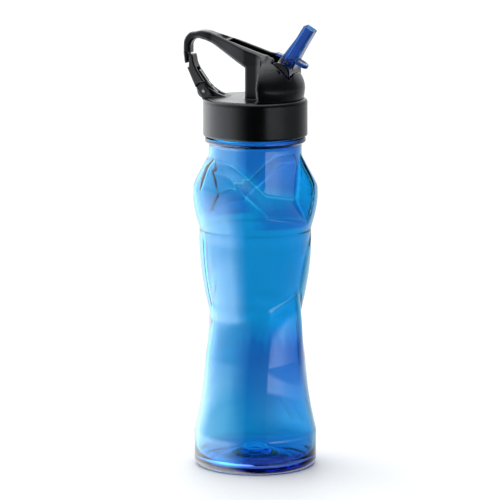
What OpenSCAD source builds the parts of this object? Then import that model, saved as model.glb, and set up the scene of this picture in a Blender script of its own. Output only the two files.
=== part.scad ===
// Sports bottle with a screw lid, a flip-up spout and a carabiner carry handle.
// Millimetres. Origin at the middle of the foot, on the bottle's axis. +Z is up, +X is the way the
// spout leans and -X is the way the carry handle points. The lid is mirror-symmetric about y = 0.

/* [Bottle] */
// Diameter of the straight band above the foot
base_d = 72; // [70:0.5:74]
// Height of the straight band
base_h = 20; // [18:0.5:22]
// Corner radius at the foot
foot_r = 4; // [3:0.5:5]
// Diameter at the waist
waist_d = 52; // [50:0.5:54]
// Height of the waist
waist_z = 87; // [85:0.5:90]
// Diameter of the smooth belly under the shoulders
belly_d = 65.6; // [64:0.2:67]
// Height where the belly reaches its full diameter
belly_z = 134; // [130:1:138]
// Diameter across the two shoulder lobes
shoulder_d = 73.1; // [71:0.1:74]
// Height of the widest point of the lobes
shoulder_z = 161.5; // [159:0.5:164]
// Diameter of the plain column under the neck
column_d = 54.4; // [53.6:0.2:55]
// Wall thickness of the bottle
wall = 1.9; // [1.5:0.1:2.2]

/* [Neck] */
// Height of the underside of the support ring
ring_z = 191; // [190.5:0.5:192]
// Diameter of the support ring
ring_d = 59; // [58:0.5:59.5]
// Height of the mouth
mouth_z = 211; // [210:0.5:212]
// Diameter of the mouth
mouth_d = 48.4; // [47:0.2:49]
// Rise of the screw thread in one turn
pitch = 4; // [3.5:0.5:4]

/* [Lid] */
// Outer diameter of the screw collar
collar_d = 60.8; // [60:0.2:62]
// Height of the shelf, the flat top of the collar
shelf_z = 217; // [216.5:0.5:218]
// Thickness of the gasket
gasket_t = 1.6; // [1:0.1:2]
// Radius of the tower that carries the spout
tower_r = 27.7; // [27:0.1:27.7]

/* [Carry handle] */
// Fall of the handle's top line towards the spout, in degrees
deck_slope = 19; // [18:0.5:20]
// Height of the top line above the shelf at the bottle's axis
deck_rise = 28.75; // [28:0.25:29]
// Width of the loop's strap
strap_w = 11.5; // [11:0.5:12]

/* [Gate] */
// Width of the sprung gate
gate_w = 11; // [10.5:0.5:11]
// Radius of the steel pin
pin_r = 0.9; // [0.8:0.05:1]

/* [Spout] */
// Distance of the spout's pivot from the bottle's axis
pivot_x = 17.3; // [17:0.1:17.6]
// Height of the spout's pivot above the shelf
pivot_rise = 15.3; // [15:0.1:15.5]
// Radius of the spout's barrel
barrel_r = 7; // [6.8:0.1:7]
// Length of the barrel
barrel_w = 24.6; // [24:0.2:25]
// Reach of the spout's tip from the pivot
spout_len = 30.7; // [29:0.1:31]
// Angle of the raised spout above the horizontal
spout_angle = 58.5; // [57:0.5:60]

/* [Hidden] */
fine = 96;
// Sculpted bottle wall: grid around and up, and the band of height that it spans
steps_round = 48;
wall_top = ring_z + 1;
wall_foot = base_h - 1.4;
column_r = column_d / 2;
belly_r = belly_d / 2;
lobe_r = shoulder_d / 2;
lobe_foot_z = 141;
column_z = 186;
side_raise = 0.7;
// Screw thread
neck_r = 26.3;
thread_depth = 1.4;
thread_z = 199;
thread_bed = 0.5;
collar_bore_r = 28.3;
// Lid heights
ceiling_z = mouth_z + gasket_t;
disc_t = 1.6;
disc_z = shelf_z - disc_t;
gasket_in = 24.3;
gasket_out = 27.6;
// Spout and its chamber
pivot_z = shelf_z + pivot_rise;
chamber_r = barrel_r + 0.3;
chamber_w = barrel_w + 0.6;
trunnion_r = 2.2;
trunnion_gap = 0.06;
trunnion_l = 2;
tube_t = 7.4;
tube_w = 10;
tube_wall = 1.6;
tab_t = 1.4;
tab_w = 11;
port_r = 2.6;
passage_r = 4;
duct_r = 2.2;
spigot_r = passage_r + 5;
spigot_l = 11;
seal_foot = 5.2;
fold_angle = 154;
// Tower: its rear face and the fall of its roof
tower_x = 8;
roof_fall = 0.62;
// Carabiner
hinge_x = -30;
hinge_rise = 3.2;
hinge_z = shelf_z + hinge_rise;
eye_r = 4.9;
eye_gap = 0.3;
cheek_t = 2.1;
// Vent
vent_x = -1;
vent_y = 17;
// Colours
ink_blue = [0.10, 0.38, 0.80, 0.45];
deep_blue = [0.10, 0.14, 0.62, 0.60];
black_shell = [0.07, 0.07, 0.08];
soft_clear = [0.80, 0.83, 0.86];
steel = [0.75, 0.76, 0.78];

// ---- Small helpers -------------------------------------------------------------------------
function clamp01(t) = min(1, max(0, t));
function ease(t) = let (u = clamp01(t)) u * u * (3 - 2 * u);
function mix(a, b, t) = a + (b - a) * t;
function arc(x, y, r, a0, a1, n) =
    [for (i = [0:n]) [x + r * cos(a0 + (a1 - a0) * i / n), y + r * sin(a0 + (a1 - a0) * i / n)]];
// Angle around the axis brought to the half turn from -65 to 115 degrees: the sculpting repeats twice
function half_turn(a) = a - 180 * floor((a + 65) / 180);

// ---- Sculpted outline of the bottle ----------------------------------------------------------
// The sculpting's own zero angle lies 17 degrees from -Y towards +X.
front_a = -73;
// Plain outline below the shoulders, at the sides of the bottle
function side_r(z) = z > waist_z
    ? mix(waist_d / 2, belly_r, sin(90 * clamp01((z - waist_z) / (belly_z - waist_z))))
    : let (t = (waist_z - z) / (waist_z - base_h))
      mix(waist_d / 2, base_d / 2, t) - 1.1 * sin(180 * clamp01((t - 0.35) / 0.65));
// Outline of the shoulder lobes
function lobe_out(z) = z < shoulder_z
    ? mix(belly_r, lobe_r, sin(90 * clamp01((z - lobe_foot_z) / (shoulder_z - lobe_foot_z))))
    : let (fall = cos(90 * clamp01((z - shoulder_z) / (column_z - shoulder_z))))
      mix(column_r, lobe_r, pow(max(0, fall), 0.85));
// Height of the upper crease of the ledge, which sweeps down and then runs level to the next lobe
function crease_z(a) = a < 13 ? 182.5 - 19.5 * pow(max(0, (a + 65) / 78), 2.1)
    : mix(163, 158, (a - 13) / 50) + 28 * ease((a - 66) / 6);
function ledge_slope(a) = a < 13 ? mix(1.25, 0.54, clamp01((a + 65) / 78)) : 0.54;
// How far the body between the lobes swells with them
function swell(a) = 0.15 + 0.85 * pow(sin(a), 2);
// Front edge and rear edge of the raised side panels
function side_front(z) = 62 + 24 * pow((z - 112) / 28, 2);
function side_rear(z) = 126 - 10 * cos(360 * (z - 64) / 76) * ease((100 - z) / 20);
// Lower form: its top edge climbs as a leaf to a point and falls back to the waist
function leaf(a) = 6.2 * pow(clamp01((a + 50) / 105), 1.6) * (1 - ease((a - 55) / 30));
function lower_r(a, z) = side_r(min(z, waist_z)) - 0.15 * max(0, z - waist_z)
    + leaf(a) * ease((z - 40) / 60);
function side_mask(a, z) =
    ease((a - side_front(z)) / 4 + 0.5) * (1 - ease((a - side_rear(z)) / 4 + 0.5));
function panel_mask(z) = ease((z - 92) / 4) * ease((lobe_foot_z + 4 - z) / 1.5);
function middle_r(a, z) =
    max(side_r(z) - side_raise * (1 - side_mask(a, z)) * panel_mask(z), lower_r(a, z));
function upper_r(a, z) =
    let (form = z < shoulder_z
             ? mix(belly_r, lobe_out(z), swell(a))
             : mix(column_r, mix(belly_r, lobe_r, swell(a)),
                   (lobe_out(z) - column_r) / (lobe_r - column_r)),
         ledge = column_r + (crease_z(a) - z) * ledge_slope(a))
    max(column_r, min(form, ledge));
function wall_r(angle, z) =
    let (a = half_turn(angle - front_a))
    z > lobe_foot_z ? upper_r(a, z) : z > waist_z ? middle_r(a, z) : max(side_r(z), lower_r(a, z));

wall_levels = concat([for (i = [0:13]) wall_foot + (waist_z - wall_foot) * i / 13],
                     [for (i = [1:8]) waist_z + (lobe_foot_z - waist_z) * i / 8],
                     [for (i = [1:15]) lobe_foot_z + 0.5 + (column_z - lobe_foot_z) * i / 15],
                     [wall_top]);

module sculpted_wall() {
    n = steps_round;
    m = len(wall_levels);
    ring = function (level, inset)
        [for (j = [0:n - 1]) let (a = 360 * j / n, r = wall_r(a, wall_levels[level]) - inset)
            [r * cos(a), r * sin(a), wall_levels[level]]];
    points = concat([for (i = [0:m - 1]) each ring(i, 0)], [for (i = [0:m - 1]) each ring(i, wall)]);
    in0 = n * m;
    quads = [for (i = [0:m - 2], j = [0:n - 1]) let (k = (j + 1) % n)
        each [[i * n + j, (i + 1) * n + j, (i + 1) * n + k], [i * n + j, (i + 1) * n + k, i * n + k],
              [in0 + i * n + j, in0 + (i + 1) * n + k, in0 + (i + 1) * n + j],
              [in0 + i * n + j, in0 + i * n + k, in0 + (i + 1) * n + k]]];
    rims = [for (j = [0:n - 1]) let (k = (j + 1) % n, top = (m - 1) * n)
        each [[j, k, in0 + k], [j, in0 + k, in0 + j],
              [top + j, in0 + top + k, top + k], [top + j, in0 + top + j, in0 + top + k]]];
    polyhedron(points, concat(quads, rims));
}

// Helical thread with a trapezoid section that fades out at both ends
module helix(root_r, crest_r, z0, turns, width) {
    n = 36 * turns;
    out = sign(crest_r - root_r);
    section = function (i) let (a = 10 * i, z = z0 + pitch * a / 360,
                                fade = ease(i / 4) * ease((n - i) / 4),
                                r0 = root_r - out * thread_bed,
                                r1 = mix(root_r - out * 0.2, crest_r, fade))
        [for (p = [[r0, -width / 2 - 0.3], [r1, -width / 4], [r1, width / 4], [r0, width / 2 + 0.3]])
            [p[0] * cos(a), p[0] * sin(a), z + p[1]]];
    points = [for (i = [0:n]) each section(i)];
    sides = [for (i = [0:n - 1], j = [0:3]) let (k = (j + 1) % 4, p = 4 * i)
        each [[p + j, p + k, p + 4 + k], [p + j, p + 4 + k, p + 4 + j]]];
    ends = [[0, 2, 1], [0, 3, 2], [4 * n, 4 * n + 1, 4 * n + 2], [4 * n, 4 * n + 2, 4 * n + 3]];
    faces = concat(sides, ends);
    polyhedron(points, out > 0 ? faces : [for (f = faces) [f[2], f[1], f[0]]]);
}

// ---- Bottle --------------------------------------------------------------------------------
module bottle_body() color(ink_blue) {
    band_r = base_d / 2;
    sculpted_wall();
    // Foot: a cup with a rounded corner, a domed floor and a ring to stand on
    rotate_extrude($fn = fine)
        polygon(concat([[0, 6], [9, 5.6], [22, 2.4], [27, 0], [band_r - foot_r, 0]],
                       arc(band_r - foot_r, foot_r, foot_r, -80, 0, 6),
                       [[band_r, base_h], [band_r - wall - 0.3, base_h]],
                       arc(band_r - wall - 4.3, foot_r + 2.4, 4, 0, -80, 5),
                       [[22, 4.6], [9, 8.2], [0, 8.6]]));
    // Neck: support ring and the plain part of the finish
    rotate_extrude($fn = fine)
        polygon([[mouth_d / 2, ring_z], [ring_d / 2 - 0.8, ring_z], [ring_d / 2, ring_z + 0.8],
                 [ring_d / 2, ring_z + 2.4], [ring_d / 2 - 0.8, ring_z + 3.2], [neck_r, ring_z + 3.8],
                 [neck_r, mouth_z - 0.8], [neck_r - 0.8, mouth_z], [mouth_d / 2, mouth_z]]);
    helix(neck_r, neck_r + thread_depth, thread_z, 1, 1.9);
}

// ---- Lid -----------------------------------------------------------------------------------
module cap_gasket() color(soft_clear)
    rotate_extrude($fn = fine)
        polygon([[gasket_in, mouth_z], [gasket_out, mouth_z], [gasket_out, ceiling_z],
                 [gasket_in, ceiling_z]]);

module lid_cap() color(black_shell) {
    outer_r = collar_d / 2;
    top_r = 2.3;
    skirt_z = ring_z + 4;
    plug_r = mouth_d / 2 - 0.4;
    notch_l = 8.6;
    difference() {
        rotate_extrude($fn = fine)
            polygon(concat([[spigot_r + 0.1, ceiling_z], [plug_r - 1.6, ceiling_z],
                            [plug_r - 1.6, ceiling_z - 4], [plug_r - 0.6, ceiling_z - 4],
                            [plug_r, ceiling_z - 3.4], [plug_r, ceiling_z],
                            [collar_bore_r, ceiling_z], [collar_bore_r, skirt_z], [outer_r - 0.6, skirt_z]],
                           arc(outer_r - 0.6, skirt_z + 0.6, 0.6, -60, 0, 3),
                           arc(outer_r - top_r, shelf_z - top_r, top_r, 0, 90, 6),
                           [[tower_r + 0.2, shelf_z], [tower_r + 0.2, disc_z], [spigot_r + 0.1, disc_z]]));
        // Notch for the carabiner's cheeks
        translate([-outer_r - 1, -gate_w / 2 - 0.1, shelf_z - 4.1])
            cube([notch_l, gate_w + 0.2, 6]);
        // Vent: the valve's stem hole and two air holes under its flap
        for (dx = [-2.2, 0, 2.2])
            translate([vent_x + dx, vent_y, ceiling_z - 1])
                cylinder(r = dx == 0 ? 1.2 : 0.6, h = 6, $fn = 32);
    }
    helix(collar_bore_r, neck_r + 0.6, thread_z - pitch / 2, 1, 1.9);
}

module vent_valve() color(soft_clear)
    translate([vent_x, vent_y, ceiling_z])
        rotate_extrude($fn = 48)
            polygon([[0, -0.9], [2.6, -0.5], [3.3, 0], [1.2, 0], [1.2, disc_z - ceiling_z],
                     [1.5, disc_z - ceiling_z], [1.2, disc_z - ceiling_z + 0.5], [0, disc_z - ceiling_z + 0.5]]);

// Height of the handle's top line above the shelf
function deck(x) = deck_rise - tan(deck_slope) * x;
// Height of the tower's shoulder where it meets the wall
function shoulder(x) = 26.5 - roof_fall * x;

// Side view of the strap, the nose and the pillar, in x and height above the shelf
strap_side = concat(
    [[tower_x, 0], [tower_x, deck(tower_x)], [-27, deck(-27)]],
    arc(-31.2, 27.2, 11.2, 83, 112, 3),
    arc(-34.6, 30.1, 8.2, 120, 180, 6),
    [[-42.8, 25], [-41.9, 18.8], [-40, 19.4], [-40.1, 24.9], [-38.5, 25.1]],
    arc(-33.6, 28.9, 4.9, 180, 76, 7),
    [[-28, 32.1], [-19, 27.3], [-3.1, 18.2], [-3.1, 0]]);

module side_prism(points, width) {
    rotate([90, 0, 0])
        translate([0, 0, -width / 2])
            linear_extrude(width)
                polygon(points);
}

module strap() {
    half = strap_w / 2;
    intersection() {
        side_prism(strap_side, 40);
        linear_extrude(60)
            polygon([[-50, -half], [-23.5, -half], [-17, -7.4], [-9, -9.6], [0, -13.6], [8.5, -17.5],
                     [8.5, 17.5], [0, 13.6], [-9, 9.6], [-17, 7.4], [-23.5, half], [-50, half]]);
    }
}

// The tower's wall and its steeper, rounded-over roof
module shoulder_slice(inset, drop)
    intersection() {
        difference() {
            cylinder(r = tower_r - inset, h = 40, $fn = 64);
            translate([tower_x + inset - 80, -40, -1])
                cube([80, 80, 60]);
        }
        translate([0, 0, shoulder(0) - drop])
            rotate([0, atan(roof_fall), 0])
                translate([-50, -50, -0.05])
                    cube([120, 100, 0.05]);
    }

module tower_shoulders() {
    round_r = 4.5;
    hull() {
        difference() {
            cylinder(r = tower_r, h = 0.05, $fn = 64);
            translate([tower_x - 80, -40, -1])
                cube([80, 80, 2]);
        }
        for (a = [0:22.5:90])
            shoulder_slice(round_r * (1 - cos(a)), round_r * (1 - sin(a)));
    }
}

module tower() {
    nose_r = 10.4;
    intersection() {
        cylinder(r = tower_r, h = 60, $fn = fine);
        union() {
            // Deck: a crowned band along the handle's top line, rounded over in front
            intersection() {
                translate([0, 0, deck_rise])
                    rotate([0, deck_slope, 0])
                        rotate([90, 0, 90])
                            translate([0, 0, tower_x])
                                linear_extrude(40)
                                    polygon([[-16.5, -40], [-16.5, -5], [-13.4, -2.2], [-8, 0], [8, 0],
                                             [13.4, -2.2], [16.5, -5], [16.5, -40]]);
                side_prism(concat([[7.5, 0], [tower_r, 0], [tower_r, 8]],
                                  arc(pivot_x, pivot_rise - 3, nose_r, 0, 70, 6), [[pivot_x, 40], [7.5, 40]]), 60);
            }
            tower_shoulders();
        }
        translate([7.9, -30, 0])
            cube([30, 60, 60]);
    }
}

module cheeks() {
    outline = concat(arc(hinge_x, hinge_rise, eye_r, 165, 84, 8), [[-23, 0], [-23, -4], [-30, -4], [-30, -3]]);
    difference() {
        union() {
            side_prism(outline, gate_w);
            side_prism([[-27, -1], [-27, 5.6], [-17, 0.1], [-17, -1]], 7);
        }
        // Slot above the gate's eye, and the slot that holds the spring's foot
        side_prism([[-45, hinge_rise], [-45, 20], [-20, 20], [-25.3, 7]], gate_w - 2 * cheek_t);
        translate([-25.4, -1.6, 0.8])
            cube([5, 3.2, 8]);
        rotate([90, 0, 0])
            translate([hinge_x, hinge_rise, -20])
                cylinder(r = pin_r, h = 40, $fn = 32);
    }
}

module carry_handle() color(black_shell) translate([0, 0, shelf_z]) {
    tube_dir = [cos(fold_angle), sin(fold_angle)];
    low = tube_t / 2 + 0.5;
    floor_at = function (t) [pivot_x + tube_dir[0] * t - tube_dir[1] * low,
                             pivot_rise + tube_dir[1] * t + tube_dir[0] * low];
    difference() {
        union() {
            translate([0, 0, -disc_t])
                cylinder(r = tower_r, h = disc_t, $fn = fine);
            // Spigot that carries the flow passage down through the cap
            translate([0, 0, -spigot_l])
                cylinder(r = spigot_r, h = spigot_l, $fn = 64);
            strap();
            tower();
            cheeks();
        }
        // Seat of the gate's eye, where it dips into the plate
        rotate([90, 0, 0])
            translate([hinge_x, hinge_rise, -gate_w / 2 + cheek_t])
                cylinder(r = eye_r + 0.1, h = gate_w - 2 * cheek_t, $fn = 64);
        // Channel for the folded spout, and the pocket for its rear lip
        side_prism([floor_at(4), floor_at(37), [-16, 50], [10, 50]], tube_w + 1.6);
        side_prism([[5.2, 8.4], [16, 8.4], [16, 30], [3, 30], [3.4, 16]], tab_w + 0.8);
        // Chamber of the barrel, open above, and the sockets of its two trunnions
        rotate([90, 0, 0])
            translate([pivot_x, pivot_rise, -chamber_w / 2])
                cylinder(r = chamber_r, h = chamber_w, $fn = fine);
        side_prism([[pivot_x - chamber_r, pivot_rise], [pivot_x + chamber_r, pivot_rise],
                    [pivot_x + chamber_r, pivot_rise + 30], [pivot_x - chamber_r, pivot_rise + 30]], chamber_w);
        rotate([90, 0, 0])
            translate([pivot_x, pivot_rise, -chamber_w / 2 - trunnion_l - 0.3])
                cylinder(r = trunnion_r + trunnion_gap, h = chamber_w + 2 * trunnion_l + 0.6, $fn = 64);
        // Seat of the seal, and the passage down to the bottle
        translate([pivot_x, 0, seal_foot])
            cylinder(r = 6, h = pivot_rise - seal_foot, $fn = 64);
        translate([pivot_x, 0, 2.4])
            cylinder(r = 3, h = 4, $fn = 48);
        translate([0, 0, -spigot_l - 1])
            cylinder(r = passage_r, h = spigot_l + 0.4, $fn = 48);
        translate([1, 0, -2])
            cylinder(r = duct_r, h = 4.4, $fn = 48);
        translate([1, 0, 2.4])
            rotate([0, 90, 0])
                cylinder(r = duct_r, h = pivot_x - 1, $fn = 48);
        // Cored-out sides of the tower, closed below by the collar
        for (side = [-1, 1])
            intersection() {
                translate([0, 0, -disc_t - 1])
                    cylinder(r = tower_r - 2.4, h = 40, $fn = fine);
                side_prism([[10.4, -3], [22, -3], [22, shoulder(22) - 4.4], [10.4, shoulder(10.4) - 4.4]], 60);
                translate([0, side > 0 ? 17.8 : -57.8, -5])
                    cube([40, 40, 40]);
            }
        // Vent hole beside the pillar, with a recess for the valve's head
        translate([vent_x, vent_y, -5])
            cylinder(r = 0.8, h = 10, $fn = 32);
        translate([vent_x, vent_y, -disc_t - 1])
            cylinder(r = 3.2, h = 1.8, $fn = 48);
    }
}

module spout_seal() color(soft_clear) translate([0, 0, shelf_z])
    difference() {
        translate([pivot_x, 0, seal_foot])
            cylinder(r = 5.9, h = 4.6, $fn = 64);
        translate([pivot_x, 0, 0])
            cylinder(r = port_r, h = 20, $fn = 48);
        rotate([90, 0, 0])
            translate([pivot_x, pivot_rise, -20])
                cylinder(r = barrel_r + 0.08, h = 40, $fn = fine);
    }

module gate_pin() color(steel)
    translate([hinge_x, 0, hinge_z])
        rotate([90, 0, 0])
            translate([0, 0, -gate_w / 2 - 0.15])
                cylinder(r = pin_r, h = gate_w + 0.3, $fn = 32);

// ---- Spout ---------------------------------------------------------------------------------
module spout() color(deep_blue) translate([pivot_x, 0, pivot_z])
    difference() {
        union() {
            rotate([90, 0, 0])
                translate([0, 0, -barrel_w / 2])
                    cylinder(r = barrel_r, h = barrel_w, $fn = fine);
            rotate([90, 0, 0])
                translate([0, 0, -barrel_w / 2 - trunnion_l])
                    cylinder(r = trunnion_r, h = barrel_w + 2 * trunnion_l, $fn = 64);
            rotate([0, -spout_angle, 0])
                translate([2, -tube_w / 2, -tube_t / 2])
                    cube([spout_len - 2, tube_w, tube_t]);
            // Thumb tab in front and a short lip behind
            rotate([0, deck_slope, 0])
                translate([-8.3, 0, 8.9]) {
                    translate([0, -tab_w / 2 + 0.5, 0])
                        cube([18, tab_w - 1, tab_t]);
                    translate([18, 0, 0])
                        cylinder(r = tab_w / 2, h = tab_t, $fn = 48);
                }
        }
        // Water way: a port in the barrel that turns away from the seal, and the tube's bore
        translate([0, 0, -barrel_r - 1])
            cylinder(r = port_r - 0.2, h = barrel_r + 1, $fn = 48);
        rotate([0, -spout_angle, 0])
            translate([0, -tube_w / 2 + tube_wall, -tube_t / 2 + tube_wall])
                cube([spout_len + 1, tube_w - 2 * tube_wall, tube_t - 2 * tube_wall]);
    }

// ---- Gate ----------------------------------------------------------------------------------
module gate() color(black_shell) translate([0, 0, shelf_z]) {
    seat_r = eye_r + eye_gap;
    outline = concat(arc(hinge_x, hinge_rise, seat_r, 162, 84, 8),
                     [[-34.4, 15.6], [-36.3, 19.6], [-37.2, 24.2], [-39.5, 24.4], [-39.4, 17.2],
                      [-40.4, 16.4]]);
    difference() {
        union() {
            side_prism(outline, gate_w);
            side_prism(concat(arc(hinge_x, hinge_rise, eye_r - 0.3, -180, 60, 16), [[-30.4, 10], [-35, 12]]),
                       gate_w - 2 * cheek_t - 0.6);
        }
        rotate([90, 0, 0])
            translate([hinge_x, hinge_rise, -20])
                cylinder(r = pin_r + 0.06, h = 40, $fn = 32);
        // Recess on the inner side for the spring, and a slit in the eye for it to pass
        side_prism([[-28, 5.6], [-33.6, 16.6], [-36.2, 15.6], [-32.9, 8.6], [-29.4, 5.6]], 5);
        side_prism([[-34.4, 15.2], [-33.2, 16], [-26.9, 7.9], [-22, 2.6], [-23.4, 1.3], [-28.5, 6.6]], 3.2);
    }
}

module gate_spring() color(steel) translate([0, 0, shelf_z])
    side_prism([[-33.9, 14.9], [-33.4, 15.2], [-27.4, 7.3], [-22.6, 2.4], [-22.9, 2.0], [-27.9, 7.0]], 2.4);

bottle_body();
cap_gasket();
lid_cap();
carry_handle();
spout_seal();
vent_valve();
gate_pin();
spout();
gate();
gate_spring();
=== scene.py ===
import math
import bpy
import numpy as np
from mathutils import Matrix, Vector


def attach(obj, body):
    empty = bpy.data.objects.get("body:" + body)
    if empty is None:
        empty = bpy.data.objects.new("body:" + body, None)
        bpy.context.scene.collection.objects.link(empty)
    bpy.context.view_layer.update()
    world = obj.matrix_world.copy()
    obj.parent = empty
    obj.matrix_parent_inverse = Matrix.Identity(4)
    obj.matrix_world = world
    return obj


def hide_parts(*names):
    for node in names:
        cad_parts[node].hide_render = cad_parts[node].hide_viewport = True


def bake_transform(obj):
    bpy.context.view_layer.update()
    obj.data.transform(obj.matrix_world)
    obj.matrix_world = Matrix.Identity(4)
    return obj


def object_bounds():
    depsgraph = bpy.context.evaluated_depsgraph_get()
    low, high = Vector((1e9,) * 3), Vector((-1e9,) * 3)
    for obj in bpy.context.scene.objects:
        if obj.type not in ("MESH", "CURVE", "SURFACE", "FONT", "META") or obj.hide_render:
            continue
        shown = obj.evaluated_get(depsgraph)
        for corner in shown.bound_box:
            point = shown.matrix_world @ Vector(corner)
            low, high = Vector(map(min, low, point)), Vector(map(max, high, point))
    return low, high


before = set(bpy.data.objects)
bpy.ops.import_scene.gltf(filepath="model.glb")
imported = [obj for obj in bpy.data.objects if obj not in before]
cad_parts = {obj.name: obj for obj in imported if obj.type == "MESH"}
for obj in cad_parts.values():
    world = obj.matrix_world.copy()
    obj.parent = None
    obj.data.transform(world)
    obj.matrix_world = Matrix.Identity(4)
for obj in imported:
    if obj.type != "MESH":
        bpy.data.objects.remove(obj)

CAD_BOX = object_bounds()
MM = 0.001
DEG = math.pi / 180

# ---- Driving dimensions, in millimetres, as in the CAD ------------------------------------------
BASE_R, BASE_H, FOOT_R = 36.0, 20.0, 4.0
WAIST_R, WAIST_Z = 26.0, 87.0
BELLY_R, BELLY_Z = 32.8, 134.0
LOBE_R, LOBE_Z, LOBE_FOOT_Z = 36.55, 161.5, 141.0
COLUMN_R, COLUMN_Z = 27.2, 186.0
RING_Z, RING_R = 191.0, 29.5
NECK_R, MOUTH_R, MOUTH_Z = 26.3, 24.2, 211.0
THREAD_Z, THREAD_DEPTH, PITCH = 199.0, 1.4, 4.0
WALL = 1.9
SHELF_Z = 217.0
FRONT_A = -73.0          # where the sculpting's own zero angle lies, in degrees from +X
LOBE_START = -65.0       # angle of a shoulder lobe's front wall, from the sculpting's zero
REPEAT = 180.0           # the sculpting repeats twice around
STEPS_ROUND = 240
FLOOR_CORNER_R = 6.0     # inner corner between the floor and the wall


# ---- Small helpers ------------------------------------------------------------------------------
def clamp01(t):
    return np.clip(t, 0.0, 1.0)


def ease(t):
    u = clamp01(t)
    return u * u * (3 - 2 * u)


def mix(a, b, t):
    return a + (b - a) * t


def soft_min(a, b, k):
    h = np.maximum(k - np.abs(a - b), 0.0) / k
    return np.minimum(a, b) - h * h * k / 4


def soft_max(a, b, k):
    return -soft_min(-a, -b, k)


# ---- The bottle's sculpted outline --------------------------------------------------------------
def side_r(z):
    """Plain outline below the shoulders, at the sides of the bottle. The cone under the waist is hollowed."""
    above = mix(WAIST_R, BELLY_R, np.sin(90 * DEG * clamp01((z - WAIST_Z) / (BELLY_Z - WAIST_Z))))
    t = (WAIST_Z - z) / (WAIST_Z - BASE_H)
    below = mix(WAIST_R, BASE_R, clamp01(t)) - 1.1 * np.sin(180 * DEG * clamp01((t - 0.35) / 0.65))
    return np.where(z > WAIST_Z, above, below)


def lobe_out(z):
    """Outline of the shoulder lobes."""
    low = mix(BELLY_R, LOBE_R, np.sin(90 * DEG * clamp01((z - LOBE_FOOT_Z) / (LOBE_Z - LOBE_FOOT_Z))))
    fall = np.cos(90 * DEG * clamp01((z - LOBE_Z) / (COLUMN_Z - LOBE_Z)))
    high = mix(COLUMN_R, LOBE_R, np.maximum(fall, 0.0) ** 0.85)
    return np.where(z < LOBE_Z, low, high)


def crease_z(a, reach):
    """Upper crease of the ledge: it sweeps down, then runs level to the next lobe and climbs its front
    wall within the angle reach."""
    sweep = 182.5 - 19.5 * clamp01((a - LOBE_START) / 78) ** 2.1
    level = mix(163.0, 158.0, (a - 13) / 50) + 28 * ease((a - 69 + reach / 2) / reach)
    return np.where(a < 13, sweep, level)


def ledge_slope(a):
    """Steepness of the ledge, as radius over height."""
    return mix(1.25, 0.54, clamp01((a - LOBE_START) / 78))


def swell(a):
    """Share of the shoulder lobe's bulge at an angle."""
    return 0.15 + 0.85 * np.sin(a * DEG) ** 2


def side_front(z):
    """Angle of the front edge of the raised side, bowed about the belly."""
    return 62 + 24 * ((z - 112) / 28) ** 2


def side_rear(z):
    """Angle of the raised side's rear edge, which waves near the waist."""
    return 126 - 10 * np.cos(360 * DEG * (z - 64) / 76) * ease((100 - z) / 20)


def leaf(a):
    """Rise of the lower form's top edge: it climbs as a leaf to a point and falls back to the waist."""
    return 6.2 * clamp01((a + 50) / 105) ** 1.6 * (1 - ease((a - 55) / 30))


def lower_r(a, z):
    """Outline of the lower form, carried on above the waist until the upper form passes it."""
    return side_r(np.minimum(z, WAIST_Z)) - 0.15 * np.maximum(0, z - WAIST_Z) + leaf(a) * ease((z - 40) / 60)


def side_mask(a, z):
    """One on the raised side between its two edges, zero elsewhere."""
    return ease((a - side_front(z)) / 7 + 0.5) * (1 - ease((a - side_rear(z)) / 7 + 0.5))


def panel_mask(z):
    """One along the sunken front panel, fading out at its top and bottom."""
    return ease((z - 92) / 8) * ease((LOBE_FOOT_Z - z) / 9)


def wall_r(angle, z):
    """Outer radius of the sculpted wall."""
    a = angle - FRONT_A
    half = np.floor((a - LOBE_START) / REPEAT)
    # The front wall of the lobe at the back is blunter
    reach = np.where(half % 2 == 0, 10.0, 26.0)
    a = a - REPEAT * half
    up = side_r(np.maximum(z, WAIST_Z)) - 0.7 * (1 - side_mask(a, z)) * panel_mask(z)
    middle = soft_max(up, lower_r(a, z), 0.8)
    form = np.where(z < LOBE_Z, mix(BELLY_R, lobe_out(z), swell(a)),
                    mix(COLUMN_R, mix(BELLY_R, LOBE_R, swell(a)),
                        (lobe_out(z) - COLUMN_R) / (LOBE_R - COLUMN_R)))
    ledge = COLUMN_R + (crease_z(a, reach) - z) * ledge_slope(a)
    upper = soft_max(COLUMN_R + 0 * z, soft_min(form, ledge, 0.9), 0.9)
    return np.where(z > LOBE_FOOT_Z, upper, middle)


def thread_r(angle, z):
    """Neck with one turn of a trapezoid thread that fades out at both ends."""
    turn = (angle % 360) / 360
    fade = ease(turn * 9) * ease((1 - turn) * 9)
    off = np.abs(z - THREAD_Z - PITCH * turn)
    return NECK_R + THREAD_DEPTH * fade * ease((1.25 - off) / 0.75)


# ---- Mesh helpers -------------------------------------------------------------------------------
def add_object(name, mesh):
    obj = bpy.data.objects.new(name, mesh)
    bpy.context.scene.collection.objects.link(obj)
    return obj


def new_object(name, verts, faces, smooth=True):
    mesh = bpy.data.meshes.new(name)
    mesh.from_pydata([tuple(v) for v in verts], [], faces)
    mesh.update()
    mesh.polygons.foreach_set("use_smooth", [smooth] * len(mesh.polygons))
    return add_object(name, mesh)


def rings_to_mesh(name, rings):
    """Skins a stack of rings, each an array of points, and closes both ends on a middle point."""
    n = len(rings[0])
    m = len(rings)
    i, j = np.meshgrid(np.arange(m - 1), np.arange(n), indexing="ij")
    k = (j + 1) % n
    quads = np.stack([i * n + j, i * n + k, (i + 1) * n + k, (i + 1) * n + j], axis=-1).reshape(-1, 4)
    faces = quads.tolist()
    first, last = m * n, m * n + 1
    for s in range(n):
        e = (s + 1) % n
        faces.append([e, s, first])
        faces.append([last, (m - 1) * n + s, (m - 1) * n + e])
    ends = np.array([rings[0].mean(axis=0), rings[-1].mean(axis=0)])
    return new_object(name, np.concatenate([*rings, ends]), faces)


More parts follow.
